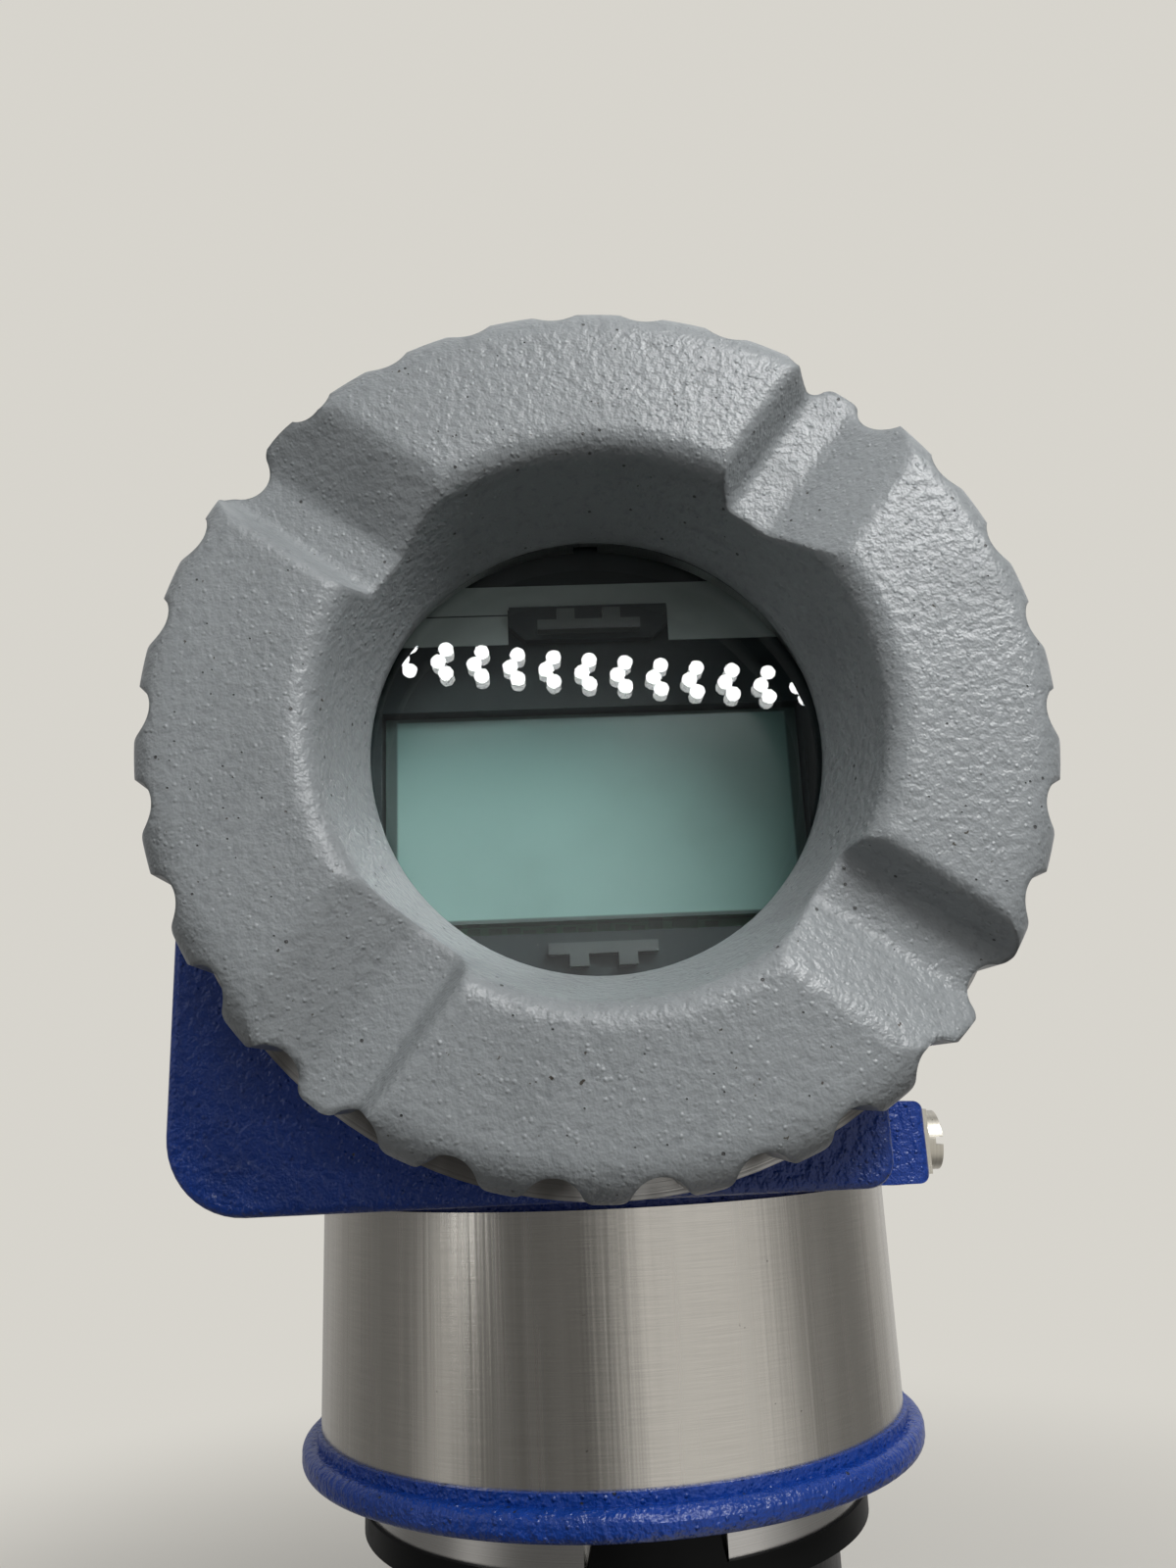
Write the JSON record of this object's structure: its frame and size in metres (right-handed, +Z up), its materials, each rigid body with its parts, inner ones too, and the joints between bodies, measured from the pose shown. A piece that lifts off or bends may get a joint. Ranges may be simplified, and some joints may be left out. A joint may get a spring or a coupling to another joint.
{
  "type": "gauge pressure transmitter",
  "caption": "Direct-connected gauge pressure transmitter: round two-compartment housing with a windowed scalloped cover, neck band and process nipple.",
  "frame": {"origin": "centre of the process nipple's end face", "axes": "+Z up the neck axis towards the housing, -Y out of the front cover's window, +X to the right seen from the front"},
  "size_m": [0.0983, 0.121, 0.1838],
  "materials": {
    "blue_paint": "textured",
    "grey_paint": "textured",
    "window_glass": "polished",
    "black_rubber": "matte",
    "stainless": "brushed",
    "turned_steel": "turned",
    "plated_steel": "satin",
    "copper_alloy": "dull",
    "aluminium": "machined",
    "dark_plastic": "matte",
    "grey_plastic": "satin",
    "panel_glass": "glossy",
    "label_paper": "satin",
    "board_green": "satin",
    "potting": "satin",
    "black_coat": "satin",
    "ribbon": "matte"
  },
  "bodies": {
    "sensor": {"sensor_neck": "turned_steel", "neck_seal": "black_rubber", "rotation_stop_ring": "dark_plastic", "sensor_body": "black_coat", "sensor_capsule": "turned_steel", "isolating_diaphragm": "turned_steel", "capsule_seal": "black_rubber", "capsule_pins": "plated_steel", "sensor_board": "board_green", "sensor_connector": "dark_plastic", "process_connector": "turned_steel"},
    "topworks": {"housing": "blue_paint", "data_plate": "stainless", "data_plate_screws": "plated_steel", "ground_screw": "plated_steel", "ground_clamp": "plated_steel", "lug_set_screw": "copper_alloy", "conduit_plug": "aluminium", "electronics_module": "potting", "module_screws": "plated_steel", "terminal_block": "dark_plastic", "terminal_clamps": "plated_steel", "terminal_screws": "plated_steel", "terminal_block_screws": "plated_steel", "internal_ground_screw": "plated_steel", "sensor_cable": "ribbon"},
    "front_seal": {"front_cover_seal": "black_rubber"},
    "front_cover": {"front_cover": "grey_paint", "front_cover_window": "window_glass", "window_gasket": "black_rubber", "window_retaining_ring": "aluminium"},
    "rear_seal": {"rear_cover_seal": "black_rubber"},
    "rear_cover": {"rear_cover": "grey_paint"},
    "display": {"display_frame": "dark_plastic", "display_panel": "panel_glass", "display_label": "label_paper", "display_clips": "grey_plastic", "display_board": "board_green", "display_carrier": "dark_plastic"}
  },
  "joints": [
    {"name": "housing_turn", "type": "hinge", "parent": "sensor", "child": "topworks", "pos_m": [0, 0, 0.0657], "axis": [0, 0, 1], "range_deg": [0, 360]},
    {"name": "front_cover_travel", "type": "slide", "parent": "topworks", "child": "front_seal", "axis": [0, -1, 0], "range_m": [0, 0.0107]},
    {"name": "front_cover_turn", "type": "hinge", "parent": "front_seal", "child": "front_cover", "pos_m": [0, -0.0435, 0.1355], "axis": [0, -1, 0], "range_deg": [0, 1800]},
    {"name": "rear_cover_travel", "type": "slide", "parent": "topworks", "child": "rear_seal", "axis": [0, 1, 0], "range_m": [0, 0.0107]},
    {"name": "rear_cover_turn", "type": "hinge", "parent": "rear_seal", "child": "rear_cover", "pos_m": [0, 0.0435, 0.1355], "axis": [0, 1, 0], "range_deg": [0, 1800]},
    {"name": "display_twist", "type": "hinge", "parent": "topworks", "child": "display", "pos_m": [0, -0.02, 0.1355], "axis": [0, -1, 0], "range_deg": [0, 10]}
  ],
  "couplings": [
    {"joint": "front_cover_travel", "follows": "front_cover_turn", "m_per_rad": 0.000337},
    {"joint": "rear_cover_travel", "follows": "rear_cover_turn", "m_per_rad": 0.000337}
  ]
}
